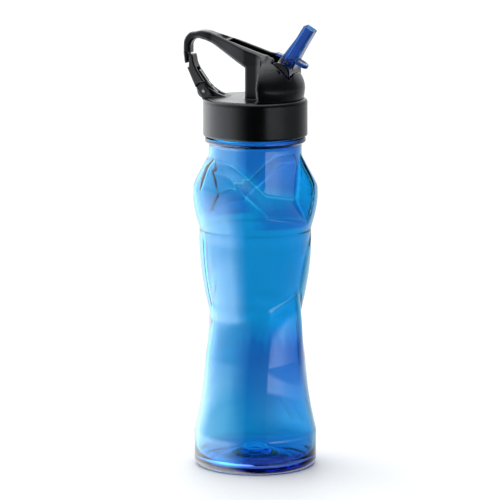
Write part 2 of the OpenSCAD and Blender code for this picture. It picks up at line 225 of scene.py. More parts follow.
def arc_points(x, z, r, a0, a1, n):
    """Points on an arc about (x, z), from angle a0 to a1 in degrees."""
    a = np.linspace(a0, a1, n) * DEG
    return [(x + r * math.cos(t), z + r * math.sin(t)) for t in a]


# ---- Bottle -------------------------------------------------------------------------------------
def bottle_levels():
    """Heights of the sculpted rings, closer together in the shoulders."""
    low = np.arange(BASE_H, LOBE_FOOT_Z - 1, 1.1)
    high = np.arange(LOBE_FOOT_Z - 1, COLUMN_Z + 0.4, 0.5)
    return np.concatenate([low, high])


def soften(grid, passes, reach):
    """Blurs a grid of radii, round and round along the rings and to the ends of the stack."""
    for _ in range(passes):
        grid = (np.roll(grid, 1, axis=1) + 2 * grid + np.roll(grid, -1, axis=1)) / 4
    for _ in range(passes * reach):
        grid = np.concatenate([grid[:1], (grid[:-2] + 2 * grid[1:-1] + grid[2:]) / 4, grid[-1:]])
    return grid


# Underside from the middle of the punt to the foot ring, and the floor inside, as (radius, height)
PUNT = [(0.6, 6.0), (3, 5.95), (6, 5.8), (9, 5.5), (12, 5.0), (15, 4.35), (18, 3.5), (21, 2.5),
        (23.5, 1.5), (25.5, 0.7), (27, 0.2), (28.5, 0.02), (30, 0.0), (31.2, 0.0)]
INNER_FLOOR = [(25.6, 3.1), (23, 3.7), (20, 4.9), (17, 6.1), (14, 7.1), (11.5, 7.9), (9.6, 8.4), (8.6, 8.9),
               (7.8, 9.3), (6, 9.5), (3, 9.6), (0.6, 9.6)]
FLOOR_EDGE_Z = FOOT_R + 5.2
# The inside of the shoulder narrows to the mouth, as (share of the way out, height)
INNER_SHOULDER = [(0.1, 194.2), (0.35, 193.2), (0.65, 192.2), (0.9, 191.3), (1.0, 190.4), (1.0, 188.5)]
RIM_R = 0.8              # rounding of the support ring's rim and of the mouth's outer edge
MOUTH_LIP_R = 0.6


def make_bottle():
    """One closed skin: up the outside, over the mouth and down the inside to the floor."""
    angles = np.arange(STEPS_ROUND) * 360 / STEPS_ROUND
    levels = bottle_levels()
    step = 360 / STEPS_ROUND * DEG

    def ring(radius, z):
        r = np.broadcast_to(radius, angles.shape)
        return np.stack([r * np.cos(angles * DEG), r * np.sin(angles * DEG), np.full_like(r, z)], axis=1) * MM

    def wall_grid():
        a, z = np.meshgrid(angles, levels)
        r = wall_r(a, z)
        across = (np.roll(r, -1, axis=1) - np.roll(r, 1, axis=1)) / (2 * step * r)
        up = np.gradient(r, levels, axis=0)
        inset = WALL * np.minimum(np.sqrt(1 + across ** 2 + up ** 2), 1.7)
        # The inside is moulded by air, so its corners are softer than the outside's
        return r, soften(r - inset, 6, 3)

    outer, inner = wall_grid()
    corner = arc_points(BASE_R - FOOT_R, FOOT_R, FOOT_R, -84, 0, 12)
    rings = [ring(r, z) for r, z in PUNT + corner]
    for z in np.arange(FOOT_R + 1.2, BASE_H - 0.5, 1.2):
        rings.append(ring(BASE_R - 0.12 * math.sin(math.pi * (z - FOOT_R) / (BASE_H - FOOT_R)), z))
    rings += [ring(row, z) for row, z in zip(outer, levels)]
    # Neck root, support ring, threaded finish and mouth
    support = ([(COLUMN_R, 186.8), (COLUMN_R, 188.6), (COLUMN_R, 190.4), (COLUMN_R + 0.4, RING_Z)]
               + arc_points(RING_R - RIM_R, RING_Z + 1.3, RIM_R, -50, 0, 5)
               + arc_points(RING_R - RIM_R, RING_Z + 2.4, RIM_R, 0, 90, 6)
               + [(NECK_R + 0.7, RING_Z + 3.3), (NECK_R + 0.15, RING_Z + 3.6)])
    rings += [ring(r, z) for r, z in support]
    rings += [ring(thread_r(angles, z), z) for z in np.arange(RING_Z + 4.0, MOUTH_Z - 1.2, 0.35)]
    mouth = (arc_points(NECK_R - RIM_R, MOUTH_Z - RIM_R, RIM_R, 0, 90, 5)
             + arc_points(MOUTH_R + MOUTH_LIP_R, MOUTH_Z - MOUTH_LIP_R, MOUTH_LIP_R, 90, 180, 5))
    rings += [ring(r, z) for r, z in mouth]
    rings += [ring(MOUTH_R, z) for z in np.arange(MOUTH_Z - 2.5, RING_Z + 4, -2.5)]
    # Inside, back down to the floor
    rings += [ring(mix(MOUTH_R, inner[-1], share), z) for share, z in INNER_SHOULDER]
    rings += [ring(row, z) for row, z in zip(inner[::-1], levels[::-1])]
    floor_r = float(inner[0].mean())
    rings += [ring(floor_r - 0.03 * (BASE_H - z), z) for z in np.arange(BASE_H - 1.5, FLOOR_EDGE_Z, -1.4)]
    inner_corner = arc_points(floor_r - FLOOR_CORNER_R - 0.4, FLOOR_EDGE_Z, FLOOR_CORNER_R, 0, -84, 12)
    rings += [ring(r, z) for r, z in inner_corner + INNER_FLOOR]
    return rings_to_mesh("bottle_shell", rings)


bottle = make_bottle()


# ---- Moulded parts as distance fields -----------------------------------------------------------
# Each field is negative inside. Lengths are in millimetres and heights are above the shelf.
TOWER_R, DISC_T, PASSAGE_R = 27.7, 1.6, 4.0
DECK_SLOPE, DECK_RISE = 19.0, 28.75
PIVOT_X, PIVOT_RISE = 17.3, 15.3
HINGE_X, HINGE_RISE = -30.0, 3.2
BARREL_R, BARREL_W = 7.0, 24.6
TRUNNION_R, TRUNNION_L = 2.2, 2.0
TUBE_T, TUBE_W, TUBE_WALL = 7.4, 10.0, 1.6
TAB_W = 11.0
SPOUT_LEN, SPOUT_ANGLE, FOLD_ANGLE = 30.7, 58.5, 154.0
HEEL, HEEL_LEN = 2.3, 22.0   # how much thicker the tube is at its root, and how far up that fades out
TOWER_WALL_R, TOWER_BULGE, TOWER_REAR_X = 27.6, 1.5, 8.0
ROOF_FALL, ROOF_X, ROOF_Z = 38.0, 17.0, 22.9   # slope of the roof in front of the spout, and a point on it
SPIGOT_R, SPIGOT_L, DUCT_R, DUCT_RISE = PASSAGE_R + 5, 11.0, 2.2, 2.4
LEVER_PLAY, SIDE_PLAY, PIN_PLAY = 0.5, 0.8, 0.06
EYE_R, EYE_GAP, GATE_W, CHEEK_T, PIN_R = 4.9, 0.3, 11.0, 2.1, 0.9
RAMP_W, SLOT_W, SLOT_X, SLOT_HALF = 10.2, 3.8, -22.2, 3.4
COLLAR_R, COLLAR_BORE_R = 30.4, 28.3
COLLAR_FOOT_R, COLLAR_TOP_R = 0.9, 2.3         # roundings of the collar's lower and upper rim
VENT_X, VENT_Y = -1.0, 17.0
VENT_STEM_R, VENT_SEAT_R = 0.8, 3.2
SHELL_STEP, GATE_STEP, SPOUT_STEP = 0.42, 0.26, 0.28   # lattice spacings


def lattice(low, high, step):
    """Open grid of points from low to high."""
    axes = [np.arange(a, b + step, step, dtype=np.float32) for a, b in zip(low, high)]
    return np.meshgrid(*axes, indexing="ij", sparse=True)


def outline_field(u, v, points):
    """Signed distance to a closed outline in the plane of u and v."""
    pts = np.array(points, dtype=np.float32)
    best = None
    inside = None
    for (x0, y0), (x1, y1) in zip(pts, np.roll(pts, -1, axis=0)):
        ex, ey = x1 - x0, y1 - y0
        wx, wy = u - x0, v - y0
        t = np.clip((wx * ex + wy * ey) / (ex * ex + ey * ey), 0, 1)
        d = (wx - ex * t) ** 2 + (wy - ey * t) ** 2
        best = d if best is None else np.minimum(best, d)
        crosses = ((y0 > v) != (y1 > v)) & (u < ex * (v - y0) / (ey if ey != 0 else 1e-9) + x0)
        inside = crosses if inside is None else inside ^ crosses
    return np.where(inside, -1, 1) * np.sqrt(best)


def disc(u, v, u0, v0, r):
    """Signed distance to a disc about (u0, v0) in the plane of u and v."""
    return np.sqrt((u - u0) ** 2 + (v - v0) ** 2) - r


def slab(u, middle, half):
    """Signed distance to the layer within half of the middle."""
    return np.abs(u - middle) - half


def overlap(*fields):
    """Where all the fields are negative."""
    d = fields[0]
    for field in fields[1:]:
        d = np.maximum(d, field)
    return d


def carve(d, *cuts):
    """What is left of d after the cuts."""
    for cut in cuts:
        d = np.maximum(d, -cut)
    return d


def rounded_both(a, b, r):
    """Where a and b are both negative, with the edge between them rounded to radius r."""
    a, b = a + r, b + r
    return np.sqrt(np.maximum(a, 0) ** 2 + np.maximum(b, 0) ** 2) + np.minimum(np.maximum(a, b), 0) - r


def net_object(name, field, low, step):
    """Mesh of the zero surface of a field on a lattice, by surface nets."""
    f = field.astype(np.float32)
    neg = f < 0
    corner = [(i, j, k) for i in (0, 1) for j in (0, 1) for k in (0, 1)]
    n = [d - 1 for d in f.shape]

    def at(array, c):
        return array[c[0]:c[0] + n[0], c[1]:c[1] + n[1], c[2]:c[2] + n[2]]

    count_in = sum(at(neg, c).astype(np.int8) for c in corner)
    active = (count_in > 0) & (count_in < 8)
    cells = np.argwhere(active)
    index = np.full(active.shape, -1, dtype=np.int64)
    index[active] = np.arange(len(cells))
    total = np.zeros((len(cells), 3))
    hits = np.zeros(len(cells))
    for a in corner:
        for axis in range(3):
            if a[axis] == 1:
                continue
            b = list(a)
            b[axis] = 1
            fa = f[tuple((cells + a).T)]
            fb = f[tuple((cells + b).T)]
            cross = (fa < 0) != (fb < 0)
            t = np.where(cross, fa / np.where(cross, fa - fb, 1), 0)
            place = np.tile(np.array(a, dtype=float), (len(cells), 1))
            place[:, axis] += t
            total += place * cross[:, None]
            hits += cross
    verts = (cells + total / hits[:, None]) * step + np.array(low)
    faces = []
    for axis in range(3):
        u, v = (axis + 1) % 3, (axis + 2) % 3
        lower = [slice(None)] * 3
        upper = [slice(None)] * 3
        lower[axis], upper[axis] = slice(0, -1), slice(1, None)
        change = neg[tuple(lower)] != neg[tuple(upper)]
        e = np.argwhere(change)
        e = e[(e[:, u] > 0) & (e[:, v] > 0) & (e[:, u] < f.shape[u] - 1) & (e[:, v] < f.shape[v] - 1)]
        quad = []
        for du, dv in ((-1, -1), (0, -1), (0, 0), (-1, 0)):
            c = e.copy()
            c[:, u] += du
            c[:, v] += dv
            quad.append(index[tuple(c.T)])
        quad = np.stack(quad, axis=1)
        outwards = neg[tuple(e.T)]
        quad[~outwards] = quad[~outwards][:, ::-1]
        faces.append(quad)
    faces = np.concatenate(faces)
    mesh = bpy.data.meshes.new(name)
    mesh.vertices.add(len(verts))
    mesh.vertices.foreach_set("co", ((verts + np.array([0, 0, SHELF_Z])) * MM).ravel())
    mesh.loops.add(faces.size)
    mesh.loops.foreach_set("vertex_index", faces.ravel())
    mesh.polygons.add(len(faces))
    mesh.polygons.foreach_set("loop_start", np.arange(len(faces)) * 4)
    mesh.polygons.foreach_set("loop_total", np.full(len(faces), 4))
    mesh.polygons.foreach_set("use_smooth", [True] * len(faces))
    mesh.update(calc_edges=True)
    mesh.validate()
    return add_object(name, mesh)


def deck(x):
    """Height of the handle's top line."""
    return DECK_RISE - math.tan(DECK_SLOPE * DEG) * x


# ---- Carry handle -------------------------------------------------------------------------------
def strap_side():
    """Side outline of nose, strap and pillar, as (x, z), clockwise from the pillar's foot."""
    return ([(9.5, 0), (9.5, deck(9.5)), (-27, deck(-27))] + arc_points(-31.2, 27.2, 11.2, 82, 112, 5)
            + arc_points(-34.6, 30.1, 8.2, 122, 180, 9)
            + [(-42.8, 25), (-41.9, 18.8), (-40, 19.4), (-40.1, 24.9), (-38.5, 25.1)]
            + arc_points(-33.6, 28.9, 4.9, 180, 76, 11)
            + [(-28.5, 32.7), (-24.5, 31.0), (-19, 27.7), (-3.4, 18.5), (-3.1, 17.9), (-3.1, 0)])


def strap_half(x):
    """Half of the strap's width: narrow at the nose, wider in a straight and a curved share to the tower."""
    widening = 2.9 * clamp01((x + 25.5) / 22) + 2.9 * ease((x + 25.5) / 22)
    return 5.75 - 1.3 * ease((-27 - x) / 14) + widening + 5.2 * ease((x - 3.5) / 9)


def strap_field(x, y, z):
    """Nose, strap and pillar: a rounded side outline whose width grows towards the tower."""
    # The strap's flanks lean in a little towards the top
    lean = 0.05 * np.maximum(z - 20, 0)
    flank = (np.abs(y) - strap_half(x) + lean) * 0.93
    body = rounded_both(outline_field(x, z, strap_side()), flank, 1.4)
    return soft_max(body, roof_field(x, y, z), 0.8)


def crown(y):
    """Fall of the top surface away from the flat middle band."""
    return 2.4 * (np.maximum(np.abs(y) - 8, 0) / 6) ** 1.25


def roof_field(x, y, z):
    """Everything under the sloping, crowned top surface."""
    return (z - deck(x) + crown(y)) * math.cos(DECK_SLOPE * DEG)


def tower_field(x, y, z):
    """Bulging wall that rolls over into a crowned roof, which falls away in front of the spout."""
    wall = disc(x, y, 0, 0, TOWER_WALL_R + TOWER_BULGE * np.sin(180 * DEG * clamp01((z + 2) / 20)))
    fall = ROOF_FALL * DEG
    front = (z - ROOF_Z + math.tan(fall) * (x - ROOF_X) + crown(y)) * math.cos(fall)
    dome = soft_max(soft_max(roof_field(x, y, z), front, 4.0), wall, 8.0)
    return soft_max(dome, TOWER_REAR_X - x, 3.0)


def foot_field(x, y, z):
    """Plate that closes the collar, and the spigot under it."""
    plate = rounded_both(disc(x, y, 0, 0, TOWER_R), slab(z, -DISC_T / 2, DISC_T / 2), 0.3)
    spigot = rounded_both(disc(x, y, 0, 0, SPIGOT_R), slab(z, -SPIGOT_L / 2, SPIGOT_L / 2), 0.5)
    return np.minimum(plate, spigot)


def cheeks_field(x, y, z):
    """Two cheeks that hold the gate's pin, and the slotted ramp in front of them."""
    outline = (arc_points(HINGE_X, HINGE_RISE, EYE_R, 165, 84, 12)
               + [(-23, 0), (-23, -3.9), (-30, -3.9), (-30, -3)])
    draft = 0.1 * np.clip(-25 - x, 0, 12)
    body = rounded_both(outline_field(x, z, outline), np.abs(y) - GATE_W / 2 + draft, 0.6)
    ramp_side = outline_field(x, z, [(-27, -1), (-27, 5.4), (-22, 2.3), (-15.6, 0.1), (-15.6, -1)])
    ramp = rounded_both(ramp_side, np.abs(y) - RAMP_W / 2, 0.6)
    between = np.abs(y) - (GATE_W / 2 - CHEEK_T)
    seat = overlap(disc(x, z, HINGE_X, HINGE_RISE, EYE_R + 0.1), between)
    mouth = overlap(outline_field(x, z, [(-45, 3.2), (-45, 20), (-20, 20), (-25.3, 7), (-27, 3.2)]), between)
    slot = overlap(slab(x, SLOT_X, SLOT_HALF), np.abs(y) - SLOT_W / 2, 0.8 - z)
    pin = disc(x, z, HINGE_X, HINGE_RISE, PIN_R)
    return carve(soft_min(body, ramp, 0.6), seat, mouth, slot, pin)


def folded_spout_room(x, y, z):
    """Channel for the folded tube, with room for its heel, and a thumbnail scoop at its far end."""
    tube = (math.cos(FOLD_ANGLE * DEG), math.sin(FOLD_ANGLE * DEG))
    along = (x - PIVOT_X) * tube[0] + (z - PIVOT_RISE) * tube[1]
    above = (x - PIVOT_X) * tube[1] - (z - PIVOT_RISE) * tube[0]
    drop = TUBE_T / 2 + LEVER_PLAY + HEEL * clamp01(1 - along / (HEEL_LEN + 1))
    start, end = 4.0, 36.8
    channel = rounded_both(overlap(-above - drop, start - along, along - end),
                           np.abs(y) - TUBE_W / 2 - SIDE_PLAY, 0.5)
    scoop_x, scoop_r, scoop_w = -17.8, 5.1, 8.8
    scoop = overlap(disc(x, z, scoop_x, deck(scoop_x) + 3.9, scoop_r), np.abs(y) - scoop_w / 2)
    pocket_side = outline_field(x, z, [(5.2, 8.4), (16, 8.4), (16, 30), (3, 30), (3.4, 16)])
    pocket = rounded_both(pocket_side, np.abs(y) - (TAB_W + 0.8) / 2, 0.4)
    return [channel, scoop, pocket]


def barrel_room(x, y, z):
    """Chamber for the spout's barrel, open above in front of the deck, and the trunnions' sockets."""
    chamber_r = BARREL_R + EYE_GAP
    axle = disc(x, z, PIVOT_X, PIVOT_RISE, 0)
    opening = overlap(13.4 - x, x - PIVOT_X - chamber_r, PIVOT_RISE - z)
    chamber = overlap(np.minimum(axle - chamber_r, opening), np.abs(y) - (BARREL_W + 0.6) / 2)
    socket = overlap(axle - TRUNNION_R - PIN_PLAY, np.abs(y) - (BARREL_W / 2 + TRUNNION_L + 0.6))
    return [chamber, socket]


def drink_way(x, y, z):
    """Seat of the seal, sump, duct and riser down to the spigot, then the vent's two bores."""
    seal_seat = overlap(disc(x, y, PIVOT_X, 0, 6), slab(z, 10.25, 5.05))
    sump = overlap(disc(x, y, PIVOT_X, 0, 3), slab(z, DUCT_RISE + 2, 2))
    riser = overlap(disc(x, y, 0, 0, PASSAGE_R), z + 0.6)
    elbow = overlap(disc(x, y, 1, 0, DUCT_R), slab(z, DUCT_RISE - DUCT_R, DUCT_R))
    duct = overlap(disc(y, z, 0, DUCT_RISE, DUCT_R), slab(x, (PIVOT_X + 1) / 2, (PIVOT_X - 1) / 2))
    vent = disc(x, y, VENT_X, VENT_Y, 0)
    return [seal_seat, sump, riser, elbow, duct, vent - VENT_STEM_R + 0 * z,
            overlap(vent - VENT_SEAT_R, z + VENT_STEM_R)]


def handle_cuts(x, y, z):
    """Everything that is hollow in the handle, as one field."""
    # Coring that keeps the tower's side walls thin
    coring = overlap(disc(x, y, 0, 0, TOWER_R - 2.4), 17.8 - np.abs(y), slab(x, 16.2, 5.8),
                     z - (20.4 - 0.62 * x))
    d = coring
    for cut in folded_spout_room(x, y, z) + barrel_room(x, y, z) + drink_way(x, y, z):
        d = np.minimum(d, cut)
    return d


def make_handle():
    low = (-43.6, -30.2, -11.8)
    x, y, z = lattice(low, (30.2, 30.2, 39.5), SHELL_STEP)
    foot, cheeks = foot_field(x, y, z), cheeks_field(x, y, z)
    d = soft_min(strap_field(x, y, z), tower_field(x, y, z), 1.6)
    d = np.minimum(soft_min(d, foot, 1.2), cheeks)
    d = soft_max(d, -handle_cuts(x, y, z), 0.5)
    # Nothing but the plate, the spigot and the cheeks' root lies below the shelf
    d = np.maximum(d, np.where(z < -0.05, np.minimum(foot, cheeks), d))
    return net_object("carry_handle_moulding", d, low, SHELL_STEP)


# ---- Collar -------------------------------------------------------------------------------------
def collar_profile(skirt, ceiling):
    """Section of the collar as (radius, z): plug inside the mouth, bore, skirt and rounded top rim."""
    plug_r, plug_t, plug_l, chamfer = MOUTH_R - 0.4, 1.6, 4.0, 0.6
    foot_r, top_r = COLLAR_FOOT_R, COLLAR_TOP_R
    return ([(SPIGOT_R + 0.1, ceiling), (plug_r - plug_t, ceiling), (plug_r - plug_t, ceiling - plug_l),
             (plug_r - chamfer, ceiling - plug_l), (plug_r, ceiling - plug_l + chamfer), (plug_r, ceiling),
             (COLLAR_BORE_R, ceiling), (COLLAR_BORE_R, skirt), (COLLAR_R - foot_r, skirt)]
            + arc_points(COLLAR_R - foot_r, skirt + foot_r, foot_r, -70, 0, 5)
            + arc_points(COLLAR_R - top_r, -2.4, top_r, 0, 100, 14)
            + [(TOWER_R + 0.2, -0.6), (TOWER_R + 0.2, -DISC_T), (SPIGOT_R + 0.1, -DISC_T)])


def make_collar():
    skirt = RING_Z + 4 - SHELF_Z
    ceiling = MOUTH_Z + 1.6 - SHELF_Z
    reach = COLLAR_R + 1.2
    low = (-reach, -reach, skirt - 1.2)
    x, y, z = lattice(low, (reach, reach, 1.2), SHELL_STEP)
    around = disc(x, y, 0, 0, 0)
    d = outline_field(around, z, collar_profile(skirt, ceiling))
    turn = np.degrees(np.arctan2(y, x)) % 360 / 360
    off = np.abs(z - (THREAD_Z - SHELF_Z - PITCH / 2 + PITCH * turn))
    fade = ease(turn * 9) * ease((1 - turn) * 9)
    thread = COLLAR_BORE_R - THREAD_DEPTH * fade * ease((1.25 - off) / 0.75) - around
    d = np.minimum(d, overlap(thread, around - COLLAR_BORE_R - 0.4, slab(z, -16, 5)))
    # Notch for the gate's cheeks, and the vent's bores
    notch = overlap(x + 22.8, np.abs(y) - GATE_W / 2 - 0.1, -4.1 - z)
    hole = disc(x, y, VENT_X, VENT_Y, 1.2) + 0 * z
    for dx in (-2.2, 2.2):
        hole = np.minimum(hole, disc(x, y, VENT_X + dx, VENT_Y, 0.6))
    return net_object("collar_moulding", carve(d, notch, hole), low, SHELL_STEP)


# ---- Gate ---------------------------------------------------------------------------------------
def make_gate():
    """Arm with a hooked end, an eye between the cheeks and a recess for the spring."""
    low = (-41.6, -6.2, -3.0)
    x, y, z = lattice(low, (-24.0, 6.2, 26.2), GATE_STEP)
    seat_r = EYE_R + EYE_GAP
    eye_w = GATE_W / 2 - CHEEK_T - EYE_GAP
    arm = (arc_points(HINGE_X, HINGE_RISE, seat_r, 162, 84, 12)
           + [(-34.4, 15.6), (-36.0, 19.0), (-37.0, 24.2), (-39.5, 24.4), (-39.4, 17.2), (-40.4, 16.4)])
    draft = 0.14 * np.clip(-30 - x, 0, 12)
    d = rounded_both(outline_field(x, z, arm), np.abs(y) - GATE_W / 2 + draft, 0.7)
    eye = arc_points(HINGE_X, HINGE_RISE, EYE_R - EYE_GAP, -180, 60, 24) + [(-30.4, 10), (-35, 12)]
    d = np.minimum(d, rounded_both(outline_field(x, z, eye), np.abs(y) - eye_w, 0.4))
    # The clearance of the cheeks stays open
    cheek = overlap(disc(x, z, HINGE_X, HINGE_RISE, seat_r), eye_w - np.abs(y))
    pin = disc(x, z, HINGE_X, HINGE_RISE, PIN_R + PIN_PLAY)
    recess_side = [(-28, 5.6), (-33.2, 17.4), (-36.2, 16.4), (-32.9, 8.6), (-29.4, 5.6)]
    recess = rounded_both(outline_field(x, z, recess_side), np.abs(y) - 2.6, 0.4)
    return net_object("gate_moulding", carve(d, cheek, pin, recess), low, GATE_STEP)


# Ends and middle of the spring as (x, z) above the shelf, and its section
SPRING_TOP, SPRING_KNEE, SPRING_TOE = (-33.65, 15.05), (-27.75, 7.1), (-22.8, 2.25)
SPRING_W, SPRING_T, SPRING_EDGE = 2.4, 0.5, 0.12


def make_spring():
    """Leaf spring, gently bowed from the gate's recess down to the slot in the lid."""
    top, knee, toe = (np.array(p) for p in (SPRING_TOP, SPRING_KNEE, SPRING_TOE))
    pull = 2 * knee - (top + toe) / 2
    w, t, edge = SPRING_W / 2, SPRING_T / 2, SPRING_EDGE
    section = [(w, t - edge), (w - edge, t), (edge - w, t), (-w, t - edge),
               (-w, edge - t), (edge - w, -t), (w - edge, -t), (w, edge - t)]
    rings = []
    for s in np.linspace(0, 1, 33):
        at = (1 - s) ** 2 * top + 2 * s * (1 - s) * pull + s * s * toe
        along = 2 * (1 - s) * (pull - top) + 2 * s * (toe - pull)
        side = np.array([-along[1], along[0]]) / np.hypot(*along)
        ring = [(at[0] + side[0] * n, y, at[1] + side[1] * n + SHELF_Z) for y, n in section]
        rings.append(np.array(ring) * MM)
    return rings_to_mesh("gate_leaf_spring", rings)


# ---- Spout --------------------------------------------------------------------------------------
def turned(dx, dz, angle):
    """The offsets dx and dz, seen in axes turned by an angle in degrees."""
    c, s = math.cos(angle * DEG), math.sin(angle * DEG)
    return dx * c - dz * s, dx * s + dz * c


def spout_tube(dx, y, dz):
    """Rectangular tube with soft corners and a thicker heel, and the bore through it."""
    lean = SPOUT_ANGLE * DEG
    along = dx * math.cos(lean) + dz * math.sin(lean)
    across = dz * math.cos(lean) - dx * math.sin(lean)
    taper = 0.22 * along / SPOUT_LEN
    heel = clamp01(1 - along / HEEL_LEN)
    thick = np.maximum(across - TUBE_T / 2 - HEEL * heel, -across - TUBE_T / 2 - 0.8 * heel)
    section = rounded_both(thick + taper, np.abs(y) - TUBE_W / 2 + taper, 1.3)
    tube = rounded_both(section, slab(along, SPOUT_LEN / 2, SPOUT_LEN / 2), 0.45)
    wall = TUBE_WALL - 0.35
    hollow = rounded_both(np.abs(across) - TUBE_T / 2 + wall, np.abs(y) - TUBE_W / 2 + wall, 0.9)
    return tube, overlap(hollow, -along)


def thumb_tab(dx, y, dz):
    """Thick disc with a dished face, on a short web."""
    u, w = turned(dx - 10.2, dz - 5.6, 30)
    coin = rounded_both(np.sqrt(u * u + y * y) - 4.8, np.abs(w) - 1.25, 0.7)
    dish = np.sqrt(u * u + y * y + (w - 9.4) ** 2) - 8.9
    web = rounded_both(overlap(slab(u, -4.5, 4.5), slab(w, -0.35, 0.8)), np.abs(y) - 3.0, 0.4)
    return soft_min(soft_max(coin, -dish, 0.4), web, 0.8)


def make_spout():
    """Rectangular tube on a barrel, a dished thumb tab in front and a lip behind."""
    low = (8.5, -15.4, 6.6)
    x, y, z = lattice(low, (38.6, 15.4, 45.0), SPOUT_STEP)
    dx, dz = x - PIVOT_X, z - PIVOT_RISE
    tube, bore = spout_tube(dx, y, dz)
    axle = disc(dx, dz, 0, 0, 0)
    barrel = rounded_both(axle - BARREL_R, np.abs(y) - BARREL_W / 2, 0.5)
    trunnion = rounded_both(axle - TRUNNION_R, np.abs(y) - BARREL_W / 2 - TRUNNION_L, 0.3)
    u, w = turned(dx, dz, DECK_SLOPE)
    lip = rounded_both(overlap(slab(u, -4.6, 3.3), slab(w, 8.9, 0.7)), np.abs(y) - 2.8, 0.5)
    d = soft_min(tube, barrel, 0.9)
    for solid in (trunnion, thumb_tab(dx, y, dz), lip):
        d = soft_min(d, solid, 0.5)
    port = overlap(disc(dx, y, 0, 0, 2.4), dz)
    d = soft_max(soft_max(d, -bore, 0.3), -port, 0.3)
    return net_object("spout_moulding", d, low, SPOUT_STEP)


handle = make_handle()
collar = make_collar()
gate = make_gate()
spring = make_spring()
spout = make_spout()


# ---- Materials ----------------------------------------------------------------------------------
# Stretches of the noise along the bottle: the flow of the melt, and the waves of the drawn-out wall
FLOW, DRAWN_OUT = (1, 1, 0.35), (1, 1, 0.3)


def new_material(name):
    mat = bpy.data.materials.new(name)
    mat.use_nodes = True
    nodes = mat.node_tree.nodes
    nodes.clear()
    out = nodes.new("ShaderNodeOutputMaterial")
    shader = nodes.new("ShaderNodeBsdfPrincipled")
    mat.node_tree.links.new(shader.outputs[0], out.inputs["Surface"])
    return mat, shader, out


def link(mat, source, target):
    mat.node_tree.links.new(source, target)


def noise(mat, scale, detail=2.0, stretch=(1, 1, 1)):
    """Noise in the object's own space, in features a metre, stretched along the axes."""
    nodes = mat.node_tree.nodes
    coords = nodes.new("ShaderNodeTexCoord")
    mapping = nodes.new("ShaderNodeMapping")
    mapping.inputs["Scale"].default_value = stretch
    tex = nodes.new("ShaderNodeTexNoise")
    tex.inputs["Scale"].default_value = scale
    tex.inputs["Detail"].default_value = detail
    link(mat, coords.outputs["Object"], mapping.inputs["Vector"])
    link(mat, mapping.outputs[0], tex.inputs["Vector"])
    return tex.outputs["Fac"]


def ramp(mat, value, stops):
    """Colour ramp over value, with stops as pairs of position and colour."""
    node = mat.node_tree.nodes.new("ShaderNodeValToRGB")
    link(mat, value, node.inputs[0])
    node.color_ramp.elements[0].position, node.color_ramp.elements[0].color = stops[0]
    node.color_ramp.elements[1].position, node.color_ramp.elements[1].color = stops[-1]
    for pos, col in stops[1:-1]:
        node.color_ramp.elements.new(pos).color = col
    return node.outputs[0]


def grey(v):
    return (v, v, v, 1)


class NodeMaths:
    """Small helper that chains math nodes in a node tree."""

    def __init__(self, tree):
        self.tree = tree

    def do(self, operation, *values):
        node = self.tree.nodes.new("ShaderNodeMath")
        node.operation = operation
        for slot, value in zip(node.inputs, values):
            if isinstance(value, (int, float)):
                slot.default_value = value
            else:
                self.tree.links.new(value, slot)
        return node.outputs[0]

    def times(self, a, b):
        return self.do("MULTIPLY", a, b)

    def plus(self, a, b):
        return self.do("ADD", a, b)

    def minus(self, a, b):
        return self.do("SUBTRACT", a, b)

    def larger(self, a, b):
        return self.do("MAXIMUM", a, b)

    def wrapped(self, angle, start, period):
        """The angle, moved by whole periods to lie between start and start + period."""
        return self.plus(self.do("FLOORED_MODULO", self.minus(angle, start), period), start)

    def curve(self, value, low, high, stops, top=8.0):
        """Straight pieces over value from low to high. Stops are pairs of value and result up to top."""
        span = self.do("DIVIDE", self.minus(value, low), high - low)
        node = self.tree.nodes.new("ShaderNodeValToRGB")
        self.tree.links.new(span, node.inputs[0])
        elements = node.color_ramp.elements
        places = [((at - low) / (high - low), grey(result / top)) for at, result in stops]
        elements[0].position, elements[0].color = places[0]
        elements[1].position, elements[1].color = places[-1]
        for place, colour in places[1:-1]:
            elements.new(place).color = colour
        return self.times(node.outputs[0], top)


def bump(mat, shader, height, strength, distance):
    node = mat.node_tree.nodes.new("ShaderNodeBump")
    node.inputs["Strength"].default_value = strength
    node.inputs["Distance"].default_value = distance
    link(mat, height, node.inputs["Height"])
    link(mat, node.outputs[0], shader.inputs["Normal"])


def roughen(mat, shader, value, low, high):
    """Roughness that drifts from low to high with value."""
    link(mat, ramp(mat, value, [low, high]), shader.inputs["Roughness"])


def make_clear(mat, shader, out, haze, absorb, density):
    """Makes a material see-through: glossy, slightly wavy, with absorption in the wall."""
    shader.inputs["Transmission Weight"].default_value = 1.0
    shader.inputs["IOR"].default_value = 1.53
    roughen(mat, shader, noise(mat, 700, 3.0), (0.35, grey(haze[0])), (0.75, grey(haze[1])))
    bump(mat, shader, noise(mat, 60, 1.0, DRAWN_OUT), 0.10, 0.0006)
    volume = mat.node_tree.nodes.new("ShaderNodeVolumeAbsorption")
    volume.inputs["Color"].default_value = absorb
    volume.inputs["Density"].default_value = density
    link(mat, volume.outputs[0], out.inputs["Volume"])


def spout_plastic():
    """See-through deep blue copolyester whose tint drifts a little."""
    mat, shader, out = new_material("deep_blue")
    drift = noise(mat, 18, 1.0, FLOW)
    tint = ramp(mat, drift, [(0.3, (0.06, 0.21, 0.50, 1)), (0.7, (0.08, 0.26, 0.56, 1))])
    link(mat, tint, shader.inputs["Base Color"])
    make_clear(mat, shader, out, (0.021, 0.048), (0.15, 0.40, 0.80, 1), 150)
    return mat


# Tints of the bottle, from the palest to the deepest; the painted light and painted shade below move the tint
# along them
PALE, MID = (0.66, 0.90, 1.0, 1), (0.085, 0.55, 0.80, 1)
DEEP, PURPLE = (0.13, 0.30, 0.64, 1), (0.16, 0.20, 0.52, 1)
